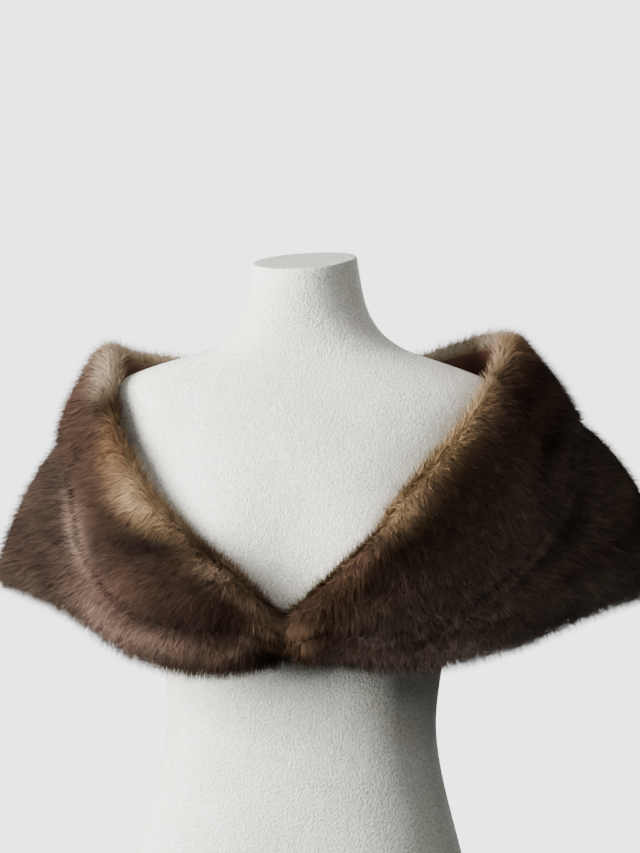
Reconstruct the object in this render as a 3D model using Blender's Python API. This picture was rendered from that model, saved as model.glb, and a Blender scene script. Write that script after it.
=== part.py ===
# Fur cape with a rolled shawl collar, worn on a limbless dress form.
# The form faces -Y, Z is up, and the wearer's right is at -X. The origin is the middle of the form's flat base.
# Sizes in the tables are millimetres, and MM turns them into the scene's metres.

import math
from collections import namedtuple

import bmesh
import bpy
from mathutils import Vector

MM = 0.001
SEAM_GAP = 0.3

# Sizes of the cape's layers
PILE = 14.0
PRESSED_PILE = 8.0
PILE_SWELL = 25.0
LAYER_GAP = 0.5
HEM_OVERHANG = 8.0
COLLAR_OVERHANG = 9.0
EDGE_PILE = 0.6
FACING_PILE = 7.0
ROLL_PILE = 12.0
LINING = 1.5
LINING_GAP = 0.5
LINING_HEM_GAP = 1.2
LINING_HEM_SHARE = 0.6
FRONT_ROUNDING = {"rows": 0.8, "least": 0.55}

# How far the leather stays off the form, beside the lining and beside the thicker facing
LINING_ROOM = 3.6
FACING_ROOM = 9.4
FACING_REACH = 34.0

# How finely the curves are cut
STATIONS_PER_ROW = 3
COLLAR_STEPS = 5
BODY_STEPS = 5
ROLL_STEPS = 6
FORM_SIDES = 56
FORM_RINGS_PER_ROW = 2
FACING_STEP = 1
NORMAL_SMOOTHING = 2

# The dress form: level, sideways shift, half width, reach to the front and to the back, and how square it is
FormRow = namedtuple("FormRow", "z middle_x half_width front back square")
FORM_ROWS = [
    FormRow(0, -6, 170, 97, 114, 2.3),
    FormRow(60, -6, 176, 100, 120, 2.3),
    FormRow(115, -5, 165, 97, 112, 2.3),
    FormRow(180, -3, 146, 92, 96, 2.3),
    FormRow(240, -2, 135.5, 90, 82, 2.3),
    FormRow(290, 0, 138, 95, 83, 2.3),
    FormRow(340, 0, 146, 103, 89, 2.3),
    FormRow(390, 0, 156, 111, 96, 2.3),
    FormRow(440, 0, 164, 115, 102, 2.3),
    FormRow(490, 0, 170, 107, 106, 2.3),
    FormRow(530, 0, 178, 94, 106, 2.25),
    FormRow(560, 0, 188, 80, 101, 2.2),
    FormRow(580, 0, 190, 68, 94, 2.1),
    FormRow(592, 0, 180, 60, 87, 2.0),
    FormRow(601, 0, 158, 54, 80, 2.0),
    FormRow(610, 1, 130, 50, 73, 2.0),
    FormRow(620, 3, 99, 48, 66, 2.0),
    FormRow(636, 4, 75, 48, 58, 2.0),
    FormRow(660, 3, 61, 52, 51, 2.0),
    FormRow(685, 2, 56, 56, 47, 2.0),
    FormRow(710, 2, 52, 57, 46, 2.0),
]
BUST = {"x": 76.0, "z": 432.0, "spread_x": 46.0, "spread_z": 56.0, "rise": 13.0}
NECK_CUT = {"from_z": 640.0, "top_z": 710.0, "slope_x": 0.05, "slope_y": 0.19}
BASE_ROUNDING = 4.0
CAP_ROUNDING = 1.5

# The leather line of the cape, a row for each section, from the front opening round by the wearer's
# right shoulder, the back and the left shoulder to the opening again.
# neck is where the collar rolls over, edge is where the collar's free edge lies, hem is the bottom,
# and belly is how far the body swells out between edge and hem.
CapeRow = namedtuple("CapeRow", "place neck edge hem belly")
CAPE_ROWS = [
    CapeRow("front opening", (-4, -122, 356), (-4, -122, 349), (-4, -121, 341), 0),
    CapeRow("right front 1", (-30, -129, 375), (-38, -132, 360), (-42, -130, 334), 0),
    CapeRow("right front 2", (-60, -130, 405), (-84, -138, 365), (-90, -137, 330), 0),
    CapeRow("right front 3", (-95, -120, 433), (-130, -128, 371), (-146, -126, 341), 0),
    CapeRow("right front 4", (-130, -102, 464), (-170, -108, 394), (-200, -100, 369), 0),
    CapeRow("right front 5", (-162, -76, 505), (-197, -82, 436), (-256, -66, 388), 2),
    CapeRow("right front 6", (-184, -42, 560), (-213, -44, 488), (-286, -32, 396), 6),
    CapeRow("right shoulder", (-193, 2, 606), (-229, 2, 535), (-293, 8, 400), 8),
    CapeRow("right back 3", (-185, 48, 602), (-218, 54, 512), (-279, 58, 390), 6),
    CapeRow("right back 2", (-146, 84, 592), (-172, 104, 490), (-218, 108, 366), 4),
    CapeRow("right back 1", (-78, 104, 583), (-92, 126, 476), (-118, 133, 344), 3),
    CapeRow("back", (0, 108, 580), (0, 134, 470), (0, 141, 334), 3),
    CapeRow("left back 1", (80, 105, 588), (98, 126, 478), (130, 133, 346), 4),
    CapeRow("left back 2", (152, 86, 607), (188, 106, 498), (250, 108, 370), 7),
    CapeRow("left back 3", (194, 50, 617), (243, 56, 531), (326, 60, 393), 11),
    CapeRow("left shoulder", (205, 2, 612), (255, 2, 554), (345, 6, 403), 14),
    CapeRow("left front 6", (188, -38, 578), (254, -40, 486), (326, -44, 390), 10),
    CapeRow("left front 5", (160, -66, 536), (224, -74, 432), (274, -84, 376), 5),
    CapeRow("left front 4", (127, -93, 498), (184, -102, 392), (212, -122, 353), 2),
    CapeRow("left front 3", (95, -114, 461), (140, -124, 367), (150, -136, 338), 0),
    CapeRow("left front 2", (62, -127, 420), (88, -134, 359), (94, -137, 336), 0),
    CapeRow("left front 1", (28, -128, 383), (38, -131, 360), (38, -127, 342), 0),
    CapeRow("front opening", (-4, -122, 356), (-4, -122, 349), (-4, -121, 341), 0),
]

# Where the panels are sewn together, as row numbers of the table above
BODY_SEAMS = {"body_right_front": (0, 7), "body_back": (7, 15), "body_left_front": (15, 22)}
LINING_SEAMS = {"lining_right_front": (0, 7), "lining_back": (7, 15), "lining_left_front": (15, 22)}
COLLAR_SEAMS = {"collar_right_front": (0, 6), "collar_back": (6, 16), "collar_left_front": (16, 22)}

# Large soft folds in the collar and the body: row number, place from neck (0) over edge (1) to hem (2),
# half lengths along the row direction and down the section, and height
Fold = namedtuple("Fold", "row down along across rise")
FOLDS = [
    Fold(2.2, 0.45, 0.9, 0.16, 4.0),
    Fold(1.7, 0.85, 0.8, 0.14, -3.5),
    Fold(1.2, 1.5, 0.5, 0.25, 3.0),
    Fold(4.0, 0.6, 0.7, 0.25, 2.5),
    Fold(5.6, 0.8, 0.5, 0.3, -3.0),
    Fold(17.3, 0.45, 0.5, 0.3, -3.5),
    Fold(19.6, 0.4, 0.9, 0.16, -3.5),
    Fold(20.4, 0.7, 0.7, 0.16, 3.5),
    Fold(18.2, 1.3, 0.6, 0.3, 3.0),
    Fold(11.0, 1.3, 1.5, 0.3, 3.0),
    Fold(9.2, 0.7, 0.5, 0.4, -2.5),
    Fold(13.2, 1.4, 0.5, 0.4, 3.0),
]


def catmull_rom(before, start, end, after, share):
    """The point at this share of the way from start to end, on a smooth curve through all four."""
    squared, cubed = share * share, share * share * share
    return 0.5 * (
        2 * start
        + (end - before) * share
        + (2 * before - 5 * start + 4 * end - after) * squared
        + (3 * start - before - 3 * end + after) * cubed
    )


def smoothstep(share):
    share = min(max(share, 0.0), 1.0)
    return share * share * (3 - 2 * share)


def clear_scene():
    for thing in list(bpy.data.objects):
        bpy.data.objects.remove(thing)


def make_material(name, colour, roughness):
    material = bpy.data.materials.new(name)
    material.use_nodes = True
    surface = material.node_tree.nodes["Principled BSDF"]
    surface.inputs["Base Color"].default_value = (*colour, 1.0)
    surface.inputs["Roughness"].default_value = roughness
    surface.inputs["Metallic"].default_value = 0.0
    return material


def finish_mesh(name, shape, material, sharp_degrees=40.0):
    """Turns a bmesh into a smooth-shaded object with this material."""
    bmesh.ops.recalc_face_normals(shape, faces=shape.faces)
    mesh = bpy.data.meshes.new(name)
    shape.to_mesh(mesh)
    shape.free()
    mesh.shade_smooth()
    mesh.set_sharp_from_angle(angle=math.radians(sharp_degrees))
    mesh.materials.append(material)
    thing = bpy.data.objects.new(name, mesh)
    bpy.context.scene.collection.objects.link(thing)
    return thing


def form_size(level):
    """The form's shift, half width, front, back and squareness at a level, read smoothly from its table."""
    last = len(FORM_ROWS) - 1
    place = next((i for i in range(last) if level <= FORM_ROWS[i + 1].z), last - 1)
    low, high = FORM_ROWS[place], FORM_ROWS[place + 1]
    share = (min(max(level, low.z), high.z) - low.z) / (high.z - low.z)
    around = [FORM_ROWS[min(max(place + k, 0), last)] for k in (-1, 0, 1, 2)]
    return [catmull_rom(*(row[column] for row in around), share) for column in (1, 2, 3, 4, 5)]


def bust_rise(x, level):
    """How far the gentle bust stands out in front of the plain section."""
    across = (abs(x) - BUST["x"]) / BUST["spread_x"]
    up = (level - BUST["z"]) / BUST["spread_z"]
    return BUST["rise"] * math.exp(-across * across - up * up)


def form_point(angle, level, inset=0.0):
    """A point of the form's surface, at an angle from +X turning towards +Y."""
    middle_x, half_width, front, back, square = form_size(level)
    cosine, sine = math.cos(angle), math.sin(angle)
    depth = back if sine > 0 else front
    x = middle_x + (half_width - inset) * math.copysign(abs(cosine) ** (2 / square), cosine)
    y = (depth - inset) * math.copysign(abs(sine) ** (2 / square), sine)
    y -= bust_rise(x, level) * max(-sine, 0.0)
    tilt = smoothstep((level - NECK_CUT["from_z"]) / (NECK_CUT["top_z"] - NECK_CUT["from_z"]))
    lift = tilt * (NECK_CUT["slope_x"] * x + NECK_CUT["slope_y"] * y)
    return Vector((x, y, level + lift))


def form_levels():
    """(level, inset) of each ring, with the base's and the neck cap's edges slightly rounded."""
    levels = [(0.0, BASE_ROUNDING), (BASE_ROUNDING * 0.3, BASE_ROUNDING * 0.3), (BASE_ROUNDING, 0.0)]
    for low, high in zip(FORM_ROWS, FORM_ROWS[1:]):
        for step in range(1, FORM_RINGS_PER_ROW + 1):
            levels.append((low.z + (high.z - low.z) * step / FORM_RINGS_PER_ROW, 0.0))
    top = levels.pop()[0]
    return levels + [(top - CAP_ROUNDING, 0.0), (top - CAP_ROUNDING * 0.3, CAP_ROUNDING * 0.3), (top, CAP_ROUNDING)]


def make_form(material):
    """The moulded torso: rings skinned with quads, closed by a flat base and a flat neck cap."""
    shape = bmesh.new()
    rings = []
    for level, inset in form_levels():
        angles = [2 * math.pi * side / FORM_SIDES for side in range(FORM_SIDES)]
        rings.append([shape.verts.new(form_point(angle, level, inset) * MM) for angle in angles])
    for lower, upper in zip(rings, rings[1:]):
        for side in range(FORM_SIDES):
            after = (side + 1) % FORM_SIDES
            shape.faces.new((lower[side], lower[after], upper[after], upper[side]))
    shape.faces.new(reversed(rings[0]))
    shape.faces.new(rings[-1])
    return finish_mesh("dress_form", shape, material)


def clear_of_form(point, room):
    """The point, moved out level from the form's middle until it has this much room."""
    middle_x, half_width, front, back, square = form_size(point.z)
    x, y = point.x - middle_x, point.y
    if y < 0:
        y = min(y + bust_rise(x, point.z), 0.0)
    depth = (back if y > 0 else front) + room
    reach = (abs(x) / (half_width + room)) ** square + (abs(y) / depth) ** square
    if reach >= 1.0 or reach == 0.0:
        return point
    scale = reach ** (-1 / square)
    moved_y = y * scale - (bust_rise(x, point.z) if y < 0 else 0.0)
    return Vector((middle_x + x * scale, moved_y, point.z))


def ring_point(column, place):
    """The neck, edge or hem point, or the belly, at a row number that may lie between two rows."""
    last = len(CAPE_ROWS) - 1
    low = min(int(place), last - 1)
    around = [min(max(low + k, 0), last) for k in (-1, 0, 1, 2)]
    values = [getattr(CAPE_ROWS[i], column) for i in around]
    if column != "belly":
        values = [Vector(value) for value in values]
    return catmull_rom(*values, place - low)


def out_of_middle(point):
    """The level direction from the form's middle to a point."""
    return Vector((point.x, point.y, 0.0)).normalized()


def section_curve(place, down):
    """A point of the leather in one section: down is 0 at the neck, 1 at the collar's edge, 2 at the hem."""
    neck, edge, hem = (ring_point(column, place) for column in ("neck", "edge", "hem"))
    upper, lower = (edge - neck).length, (hem - edge).length
    slope = ((edge - neck) * lower / upper + (hem - edge) * upper / lower) / (upper + lower)
    if down <= 1.0:
        start, end, length, share = neck, edge, upper, down
        leave, arrive = 2 * (edge - neck) / upper - slope, slope
    else:
        start, end, length, share = edge, hem, lower, down - 1.0
        leave, arrive = slope, 2 * (hem - edge) / lower - slope
    squared, cubed = share * share, share * share * share
    belly = ring_point("belly", place) * math.sin(math.pi * share) if down > 1.0 else 0.0
    return (
        belly * out_of_middle(end)
        + start * (2 * cubed - 3 * squared + 1)
        + leave * length * (cubed - 2 * squared + share)
        + end * (3 * squared - 2 * cubed)
        + arrive * length * (cubed - squared)
    )


def fold_rise(place, down):
    """How far the soft folds lift or press the fur at a place."""
    total = 0.0
    for fold in FOLDS:
        along = (place - fold.row) / fold.along
        across = (down - fold.down) / fold.across
        total += fold.rise * math.exp(-along * along - across * across)
    return total


def down_steps():
    """The places down a section: the collar's part, then the body below it."""
    upper = [step / COLLAR_STEPS for step in range(COLLAR_STEPS + 1)]
    lower = [1.0 + step / BODY_STEPS for step in range(1, BODY_STEPS + 1)]
    return upper + lower


def leather_grid():
    """The leather's points and outward normals, for each station and each step down."""
    last = len(CAPE_ROWS) - 1
    places = [step / STATIONS_PER_ROW for step in range(last * STATIONS_PER_ROW + 1)]
    points = []
    for place in places:
        section = []
        for down in down_steps():
            point = section_curve(place, down)
            fallen = (point - ring_point("neck", place)).length
            near_neck = 1.0 - smoothstep(fallen / FACING_REACH)
            room = LINING_ROOM + (FACING_ROOM - LINING_ROOM) * near_neck
            section.append(clear_of_form(point, room))
        points.append(section)
    return places, points, outward_normals(points)


def outward_normals(points):
    """Normals from the neighbouring points. The first and last station are the same place."""
    stations, steps = len(points), len(points[0])
    normals = []
    for i in range(stations):
        before = points[i - 1] if i > 0 else points[-2]
        after = points[i + 1] if i < stations - 1 else points[1]
        row = []
        for j in range(steps):
            along = after[j] - before[j]
            down = points[i][min(j + 1, steps - 1)] - points[i][max(j - 1, 0)]
            row.append(along.cross(down).normalized())
        normals.append(row)
    for _ in range(NORMAL_SMOOTHING):
        normals = smoothed_along(normals)
    return normals


def smoothed_along(normals):
    """Each normal blended with its two neighbours along the cape, so that the layers don't twist."""
    last = len(normals) - 1
    smooth = []
    for i, row in enumerate(normals):
        before = normals[i - 1] if i > 0 else normals[last - 1]
        after = normals[i + 1] if i < last else normals[1]
        smooth.append([(b + 2 * n + a).normalized() for b, n, a in zip(before, row, after)])
    return smooth


def drop(points, step):
    """The unit direction down the section at a step."""
    low, high = max(step - 1, 0), min(step + 1, len(points) - 1)
    return (points[high] - points[low]).normalized()


def front_share(place):
    """How full the pile is: it thins towards the two front edges, which are rounded."""
    from_front = min(place, len(CAPE_ROWS) - 1 - place)
    least = FRONT_ROUNDING["least"]
    return least + (1.0 - least) * smoothstep(from_front / FRONT_ROUNDING["rows"])


def body_section(place, points, normals):
    """(inner, outer) pairs of the body: pressed under the collar, full below it, thin at the hem."""
    pairs = []
    edge_step = COLLAR_STEPS
    for step, down in enumerate(down_steps()):
        below = (points[step] - points[edge_step]).length if step > edge_step else 0.0
        pile = PRESSED_PILE + (PILE - PRESSED_PILE) * smoothstep(below / PILE_SWELL)
        if step > edge_step:
            pile = pile * front_share(place) + fold_rise(place, down)
        pairs.append((points[step], points[step] + normals[step] * pile))
    inner = points[-1]
    fall = drop(points, len(points) - 1)
    hem_pile = normals[-1] * PILE * EDGE_PILE * front_share(place)
    pairs.append((inner + fall * HEM_OVERHANG * 0.5, inner + fall * HEM_OVERHANG + hem_pile))
    return pairs


def collar_section(place, points, normals):
    """(skin, tip) pairs of the collar: up the facing inside, over the roll, and down to its free edge."""
    neck, out, fall = points[0], normals[0], drop(points, 0)
    full = front_share(place)
    skin = points[FACING_STEP] - normals[FACING_STEP] * LAYER_GAP
    pairs = [(skin, skin - normals[FACING_STEP] * FACING_PILE * 0.7)]
    middle = neck + out * PRESSED_PILE / 2
    radius = PRESSED_PILE / 2 + LAYER_GAP
    for step in range(ROLL_STEPS + 1):
        share = step / ROLL_STEPS
        turn = math.pi * (share - 0.5)
        way = out * math.sin(turn) - fall * math.cos(turn)
        over_top = FACING_PILE + (ROLL_PILE - FACING_PILE) * min(2 * share, 1.0)
        pile = over_top + (PILE * full - ROLL_PILE) * max(2 * share - 1, 0.0)
        pairs.append((middle + way * radius, middle + way * (radius + pile)))
    lift = PRESSED_PILE + LAYER_GAP
    for step in range(1, COLLAR_STEPS + 1):
        skin = points[step] + normals[step] * lift
        pile = PILE * full + fold_rise(place, step / COLLAR_STEPS)
        if step < COLLAR_STEPS:
            pairs.append((skin, skin + normals[step] * pile))
            continue
        overhang = drop(points, step) * COLLAR_OVERHANG
        pairs.append((skin, skin + normals[step] * pile * EDGE_PILE + overhang))
    return pairs


def lining_section(place, points, normals):
    """(inner, outer) pairs of the lining, from under the facing to just above the hem."""
    last = len(points) - 1
    spots = [(points[FACING_STEP] + drop(points, FACING_STEP) * SEAM_GAP, normals[FACING_STEP])]
    spots += [(points[step], normals[step]) for step in range(FACING_STEP + 1, last)]
    hem_normal = normals[last - 1].lerp(normals[last], LINING_HEM_SHARE).normalized()
    spots.append((points[last - 1].lerp(points[last], LINING_HEM_SHARE), hem_normal))
    gaps = [LINING_GAP] * (len(spots) - 1) + [LINING_HEM_GAP]
    return [(point - out * (gap + LINING), point - out * gap) for (point, out), gap in zip(spots, gaps)]


def make_wall(name, sections, material, upward=0):
    """
    A closed wall from stations of (inner, outer) pairs: two skins, two long edges and two ends.
    upward is the number of first steps that climb the cape, such as the collar's facing.
    """
    shape = bmesh.new()
    inner = [[shape.verts.new(pair[0] * MM) for pair in section] for section in sections]
    outer = [[shape.verts.new(pair[1] * MM) for pair in section] for section in sections]
    last = len(sections[0]) - 1
    quads = []
    for i in range(len(sections) - 1):
        for j in range(last):
            for skin in (inner, outer):
                quad = (skin[i][j], skin[i + 1][j], skin[i + 1][j + 1], skin[i][j + 1])
                quads.append(quad[1:] + quad[:1] if j < upward else quad)
        for j in (0, last):
            quads.append((inner[i][j], inner[i + 1][j], outer[i + 1][j], outer[i][j]))
    for i in (0, len(sections) - 1):
        for j in range(last):
            quads.append((inner[i][j], inner[i][j + 1], outer[i][j + 1], outer[i][j]))
    # Layers a little apart stay apart because their quads are cut along the same diagonal
    for a, b, c, d in quads:
        shape.faces.new((a, b, c))
        shape.faces.new((a, c, d))
    return finish_mesh(name, shape, material)


def run_direction(points, station):
    """The mean direction along the cape at a station. The first and last station are the same place."""
    before = points[station - 1] if station > 0 else points[-2]
    after = points[station + 1] if station < len(points) - 1 else points[1]
    total = Vector((0.0, 0.0, 0.0))
    for start, end in zip(before, after):
        total += (end - start).normalized()
    return total.normalized()


def make_panels(seams, section_of, grid, material, upward=0):
    """One wall for each panel, drawn back by half a seam's gap at both ends."""
    places, points, normals = grid
    for name, (first_row, last_row) in seams.items():
        first, last = first_row * STATIONS_PER_ROW, last_row * STATIONS_PER_ROW
        sections = [section_of(places[i], points[i], normals[i]) for i in range(first, last + 1)]
        for end, station, side in ((0, first, 1), (-1, last, -1)):
            shift = run_direction(points, station) * side * SEAM_GAP / 2
            sections[end] = [(inner + shift, outer + shift) for inner, outer in sections[end]]
        make_wall(name, sections, material, upward)


def main():
    clear_scene()
    painted = make_material("painted_form", (0.80, 0.80, 0.76), 0.6)
    body_fur = make_material("brown_fur", (0.11, 0.065, 0.047), 0.8)
    collar_fur = make_material("collar_fur", (0.20, 0.125, 0.085), 0.8)
    satin = make_material("brown_satin", (0.07, 0.03, 0.02), 0.4)
    make_form(painted)
    grid = leather_grid()
    make_panels(BODY_SEAMS, body_section, grid, body_fur)
    make_panels(COLLAR_SEAMS, collar_section, grid, collar_fur, upward=1)
    make_panels(LINING_SEAMS, lining_section, grid, satin)


main()
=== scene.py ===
# %% [markdown]
# # A mink cape on a limbless dress form
#
# The real object is a short evening cape: brown mink pelts sewn into a curved body, with a wide shawl
# collar that rolls outwards over the shoulders, lined with satin and worn on a white dress form of
# painted papier-mache. We dress the CAD solids of the same object, and every length here is
# in metres in their frame: x to the wearer's left, y to the back, z up, with the floor at zero.

# %% Load the solids
import math

import bpy
import numpy as np
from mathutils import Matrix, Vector
from mathutils.bvhtree import BVHTree


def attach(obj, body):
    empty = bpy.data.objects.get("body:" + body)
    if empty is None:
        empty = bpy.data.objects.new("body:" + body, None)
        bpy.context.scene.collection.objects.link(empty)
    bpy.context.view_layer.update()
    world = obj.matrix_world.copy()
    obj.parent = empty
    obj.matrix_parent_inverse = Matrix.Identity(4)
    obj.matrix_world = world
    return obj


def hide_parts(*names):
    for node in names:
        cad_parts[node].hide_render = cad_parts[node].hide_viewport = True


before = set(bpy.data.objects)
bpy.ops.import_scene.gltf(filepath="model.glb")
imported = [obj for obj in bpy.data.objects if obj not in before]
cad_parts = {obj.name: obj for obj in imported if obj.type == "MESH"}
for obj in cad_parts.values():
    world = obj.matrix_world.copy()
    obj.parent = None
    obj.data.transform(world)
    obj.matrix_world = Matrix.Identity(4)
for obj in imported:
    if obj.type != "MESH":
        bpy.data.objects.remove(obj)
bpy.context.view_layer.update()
MM = 0.001
print("solids:", ", ".join(sorted(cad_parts)))

# %% [markdown]
# ## The camera and a soft daylight
#
# The picture was taken from almost straight in front, at about the height of the collar. A long lens
# keeps the cape's width true. The daylight comes from a tall window on the left of the picture, so
# that half the form glows and the right side of the fur falls into shade. One tall soft lamp is that
# window. A weak one in front and one behind stand for what the room's pale walls send back, and a dim
# grey world fills the rest.

# %% Camera
CAMERA = Vector((0.1736, -1.7892, 0.6377))
LOOKED_AT = Vector((0.0169, 0.0015, 0.5435))
PICTURE = (640, 853)  # pixels wide and high
VIEW_DISTANCE = 1800  # millimetres in front of the camera, one pixel of the picture is one millimetre there
SENSOR = 36
LENS = SENSOR * VIEW_DISTANCE / PICTURE[1]


def aimed(location, target):
    """The turn that points a camera or a lamp from one place at another."""
    return (Vector(target) - Vector(location)).to_track_quat("-Z", "Y").to_euler()


bpy.ops.object.camera_add(location=CAMERA, rotation=aimed(CAMERA, LOOKED_AT))
camera = bpy.context.object
camera.data.sensor_width = SENSOR
camera.data.lens = LENS
bpy.context.scene.camera = camera
print("camera", round((CAMERA - LOOKED_AT).length, 3), "m away, lens", round(LENS, 1), "mm")

# %% Colours, nodes and materials
def linear(hex_colour):
    """An sRGB hex colour as the linear numbers that a shader takes."""
    parts = [int(hex_colour[i : i + 2], 16) / 255 for i in (1, 3, 5)]
    light = [c / 12.92 if c <= 0.04045 else ((c + 0.055) / 1.055) ** 2.4 for c in parts]
    return (*light, 1.0)


def add_node(tree, kind, inputs=None, stops=(), **settings):
    """Adds a node with its settings. An input, by name or place, takes a value or another node's
    socket, and a colour ramp's stops are (place from 0 to 1, hex colour)."""
    made = tree.nodes.new(kind)
    for name, value in settings.items():
        setattr(made, name, value)
    for name, value in (inputs or {}).items():
        if isinstance(value, bpy.types.NodeSocket):
            tree.links.new(value, made.inputs[name])
        else:
            made.inputs[name].default_value = value
    for i, (at, colour) in enumerate(stops):
        ramp = made.color_ramp.elements
        stop = ramp[i] if i < 2 else ramp.new(at)
        stop.position, stop.color = at, linear(colour)
    return made


def new_material(name, **surface):
    """A material by its real name, and the fixed values of its surface, set on the shader's sockets."""
    made = bpy.data.materials.new(name)
    made.use_nodes = True
    shader = made.node_tree.nodes["Principled BSDF"]
    for socket, value in surface.items():
        shader.inputs[socket.replace("_", " ")].default_value = value
    return made, made.node_tree, shader


# %% Studio
def select_only(piece):
    """Operators act on all that is selected, so first nothing is, and then only this piece."""
    bpy.ops.object.select_all(action="DESELECT")
    piece.select_set(True)
    bpy.context.view_layer.objects.active = piece


def edit(piece, selected=False):
    """Into edit mode on one piece, with all of it selected or none."""
    select_only(piece)
    bpy.ops.object.mode_set(mode="EDIT")
    bpy.ops.mesh.select_all(action="SELECT" if selected else "DESELECT")


def leave_edit():
    """Back to object mode."""
    bpy.ops.object.mode_set(mode="OBJECT")


def select_where(piece, test, kind="polygons"):
    """Selects the faces or edges whose middle passes the test, from object mode, and goes back to edit mode."""
    leave_edit()
    mesh = piece.data
    for vertex in mesh.vertices:
        vertex.select = False
    for item in getattr(mesh, kind):
        corners = [mesh.vertices[i].co for i in item.vertices]
        item.select = bool(test(sum(corners, Vector()) / len(corners)))
    bpy.ops.object.mode_set(mode="EDIT")


SWEEP_RADIUS, SWEEP_BEND, SWEEP_HEIGHT = 5.0, 1.5, 6.0
bpy.ops.object.select_all(action="DESELECT")
bpy.ops.mesh.primitive_cylinder_add(
    vertices=96, radius=SWEEP_RADIUS, depth=SWEEP_HEIGHT, location=(0, 0, SWEEP_HEIGHT / 2)
)
sweep = bpy.context.object
sweep.name = "studio_sweep"
bpy.ops.object.transform_apply(location=True)
edit(sweep)
bpy.ops.mesh.select_mode(type="FACE")
select_where(sweep, lambda middle: middle.z > SWEEP_HEIGHT - 0.01)
bpy.ops.mesh.delete(type="FACE")
bpy.ops.mesh.select_mode(type="EDGE")
select_where(sweep, lambda middle: middle.z < 0.01, "edges")
bpy.ops.mesh.bevel(offset=SWEEP_BEND, segments=14, affect="EDGES")
bpy.ops.mesh.select_all(action="SELECT")
bpy.ops.mesh.flip_normals()
leave_edit()
bpy.ops.object.shade_smooth()

# pale grey paper: mostly an even glow, with a little that takes the object's soft shadow
paper, tree, shader = new_material("Studio paper", Roughness=0.9)
shader.inputs["Base Color"].default_value = linear("#E4E4E4")
glow = add_node(tree, "ShaderNodeEmission", {"Color": linear("#FFFFFF"), "Strength": 3.75})
mixed = add_node(
    tree, "ShaderNodeMixShader", {0: 0.9, 1: shader.outputs["BSDF"], 2: glow.outputs["Emission"]}
)
tree.links.new(mixed.outputs["Shader"], tree.nodes["Material Output"].inputs["Surface"])
sweep.data.materials.append(paper)
sweep.visible_diffuse = sweep.visible_glossy = sweep.visible_shadow = False

CAMERA_TURN = 5  # degrees, how far the camera itself stands round to the picture's right
ROOM_LIGHT = 0.075
KEY = {"turn": -67, "rise": 15, "distance": 2.3, "size": (0.9, 1.8), "power": 305}
FILL = {"turn": 8, "rise": 36, "distance": 2.4, "size": (1.8, 1.8), "power": 24.5}
BACK = {"turn": 164, "rise": 12, "distance": 2.6, "size": (1.6, 1.6), "power": 50}


def add_lamp(name, turn, rise, distance, size, power):
    """A soft lamp of this width and height, turned round the form from the camera's side, plus being
    towards the picture's right, and raised above the level of the collar, both in degrees."""
    away = math.radians(turn + CAMERA_TURN), math.radians(rise)
    place = LOOKED_AT + distance * Vector(
        (math.sin(away[0]) * math.cos(away[1]), -math.cos(away[0]) * math.cos(away[1]), math.sin(away[1]))
    )
    bpy.ops.object.light_add(type="AREA", location=place, rotation=aimed(place, LOOKED_AT))
    lamp = bpy.context.object
    lamp.name, lamp.data.shape, lamp.data.energy = name, "RECTANGLE", power
    lamp.data.size, lamp.data.size_y = size
    return lamp


add_lamp("window", **KEY)
add_lamp("wall", **FILL)
add_lamp("far_wall", **BACK)
world = bpy.data.worlds.new("Room")
bpy.context.scene.world = world
world.use_nodes = True
world.node_tree.nodes["Background"].inputs["Color"].default_value = linear("#F2F4F6")
world.node_tree.nodes["Background"].inputs["Strength"].default_value = ROOM_LIGHT
bpy.context.scene.view_settings.view_transform = "AgX"

# %% [markdown]
# ## The dress form
#
# The form is papier-mache under several coats of white paint: a smooth torso whose skin is finely
# pebbled, with a flat cap on the neck. It could be lofted again from scratch, but the solid already has
# its true shape, so we take a copy of it, weld its loose triangles into a skin of quads, crease the two
# crisp rims, and let a subdivision surface round everything between them.

# %% The form's skin
def welded_copy(node, name, crease_angle):
    """A copy of a CAD node's mesh as one welded skin of quads, rounded by subdivision."""
    piece = bpy.data.objects.new(name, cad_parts[node].data.copy())
    bpy.context.scene.collection.objects.link(piece)
    piece.data.materials.clear()
    edit(piece, selected=True)
    bpy.ops.mesh.customdata_custom_splitnormals_clear()
    bpy.ops.mesh.remove_doubles(threshold=0.00001)
    bpy.ops.mesh.tris_convert_to_quads()
    bpy.ops.mesh.mark_sharp(clear=True)
    bpy.ops.mesh.select_mode(type="EDGE")
    bpy.ops.mesh.select_all(action="DESELECT")
    bpy.ops.mesh.edges_select_sharp(sharpness=math.radians(crease_angle))
    bpy.ops.transform.edge_crease(value=1.0)
    leave_edit()
    rounding = piece.modifiers.new("Rounding", "SUBSURF")
    rounding.levels = rounding.render_levels = 1
    bpy.ops.object.modifier_apply(modifier=rounding.name)
    bpy.ops.object.shade_smooth_by_angle(angle=math.radians(40))
    return piece


form = welded_copy("dress_form", "dress_form_skin", 60)
on_top = [p.center.z > 0.69 and p.normal.z > 0.8 for p in form.data.polygons]
form.data.attributes.new("cap", "FLOAT", "FACE").data.foreach_set("value", np.array(on_top, float))
print("form:", len(form.data.polygons), "faces")
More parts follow.
